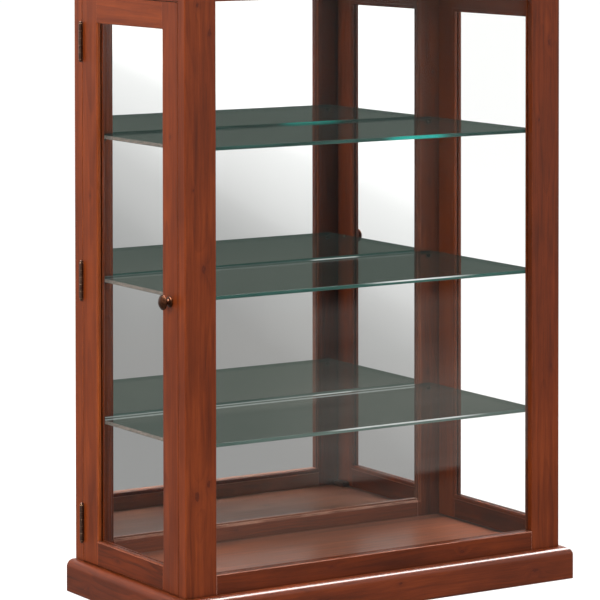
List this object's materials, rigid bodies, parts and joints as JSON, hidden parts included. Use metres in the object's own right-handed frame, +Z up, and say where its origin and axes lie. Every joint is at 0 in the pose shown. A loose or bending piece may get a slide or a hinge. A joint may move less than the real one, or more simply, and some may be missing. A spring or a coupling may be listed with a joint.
{
  "type": "display case",
  "caption": "Free-standing glazed wooden display case with fixed front pane, mirrored back, hinged glass side doors, loose glass shelves, bullnosed plinth and moulded cornice.",
  "frame": {"origin": "middle of the footprint on the floor", "axes": "+Z up, front pane faces -Y, +X to the right when facing the front pane from outside"},
  "size_m": [1.001, 0.492, 1.377],
  "materials": {
    "wood_case": "reddish-brown stained pine under satin varnish",
    "wood_doors": "reddish-brown stained pine under satin varnish",
    "wood_mouldings": "stained pine moulding, satin varnish with a soft sheen on the rounded edge",
    "raw_pine": "unfinished sawn pine, out of sight under the floor",
    "backing_board": "thin plywood, unvarnished",
    "pane_glass": "clear float glass, 4 mm",
    "shelf_glass": "clear float glass, 8 mm, polished green edges",
    "mirror_glass": "silvered glass",
    "aged_bronze": "dark aged bronze, worn brighter on the edges",
    "aged_bronze_knob": "dark aged bronze, rubbed on the crown",
    "zinc_steel": "yellowed zinc plate",
    "catch_plastic": "dark brown moulded plastic"
  },
  "bodies": {
    "case": {"back_bottom_rail": "wood_case", "back_stile_left": "wood_case", "back_stile_right": "wood_case", "back_top_rail": "wood_case", "backing_screws": "zinc_steel", "catch_screws": "zinc_steel", "corner_blocks": "raw_pine", "cornice_front": "wood_mouldings", "cornice_left": "wood_mouldings", "cornice_right": "wood_mouldings", "door_catches": "catch_plastic", "floor_panel": "wood_case", "front_bottom_rail": "wood_case", "front_glass": "pane_glass", "front_glass_beads": "wood_case", "front_stile_left": "wood_case", "front_stile_right": "wood_case", "front_top_rail": "wood_case", "hinge_leaves_fixed_left": "aged_bronze", "hinge_leaves_fixed_right": "aged_bronze", "hinge_pins": "aged_bronze", "hinge_screws_fixed": "zinc_steel", "mirror": "mirror_glass", "mirror_backing": "backing_board", "plinth_front": "wood_mouldings", "plinth_left": "wood_mouldings", "plinth_right": "wood_mouldings", "shelf_pins": "aged_bronze", "side_bottom_rail_left": "wood_case", "side_bottom_rail_right": "wood_case", "side_top_rail_left": "wood_case", "side_top_rail_right": "wood_case", "top_panel": "wood_case"},
    "left_door": {"left_door_beads": "wood_doors", "left_door_bottom_rail": "wood_doors", "left_door_front_stile": "wood_doors", "left_door_glass": "pane_glass", "left_door_hinge_leaves": "aged_bronze", "left_door_hinge_screws": "zinc_steel", "left_door_knob": "aged_bronze_knob", "left_door_knob_screw": "zinc_steel", "left_door_rear_stile": "wood_doors", "left_door_strike": "zinc_steel", "left_door_strike_screw": "zinc_steel", "left_door_top_rail": "wood_doors"},
    "right_door": {"right_door_beads": "wood_doors", "right_door_bottom_rail": "wood_doors", "right_door_front_stile": "wood_doors", "right_door_glass": "pane_glass", "right_door_hinge_leaves": "aged_bronze", "right_door_hinge_screws": "zinc_steel", "right_door_knob": "aged_bronze_knob", "right_door_knob_screw": "zinc_steel", "right_door_rear_stile": "wood_doors", "right_door_strike": "zinc_steel", "right_door_strike_screw": "zinc_steel", "right_door_top_rail": "wood_doors"},
    "top_shelf": {"shelf_top": "shelf_glass"},
    "middle_shelf": {"shelf_middle": "shelf_glass"},
    "bottom_shelf": {"shelf_bottom": "shelf_glass"}
  },
  "joints": [
    {"name": "left_door_hinge", "type": "hinge", "parent": "case", "child": "left_door", "pos_m": [-0.4795, 0.21025, 0.675], "axis": [0, 0, -1], "range_deg": [0, 170]},
    {"name": "right_door_hinge", "type": "hinge", "parent": "case", "child": "right_door", "pos_m": [0.4795, 0.21025, 0.675], "axis": [0, 0, 1], "range_deg": [0, 170]},
    {"name": "top_shelf_lift", "type": "slide", "parent": "case", "child": "top_shelf", "axis": [0, 0, 1], "range_m": [0, 0.03]},
    {"name": "middle_shelf_lift", "type": "slide", "parent": "case", "child": "middle_shelf", "axis": [0, 0, 1], "range_m": [0, 0.03]},
    {"name": "bottom_shelf_lift", "type": "slide", "parent": "case", "child": "bottom_shelf", "axis": [0, 0, 1], "range_m": [0, 0.03]}
  ]
}
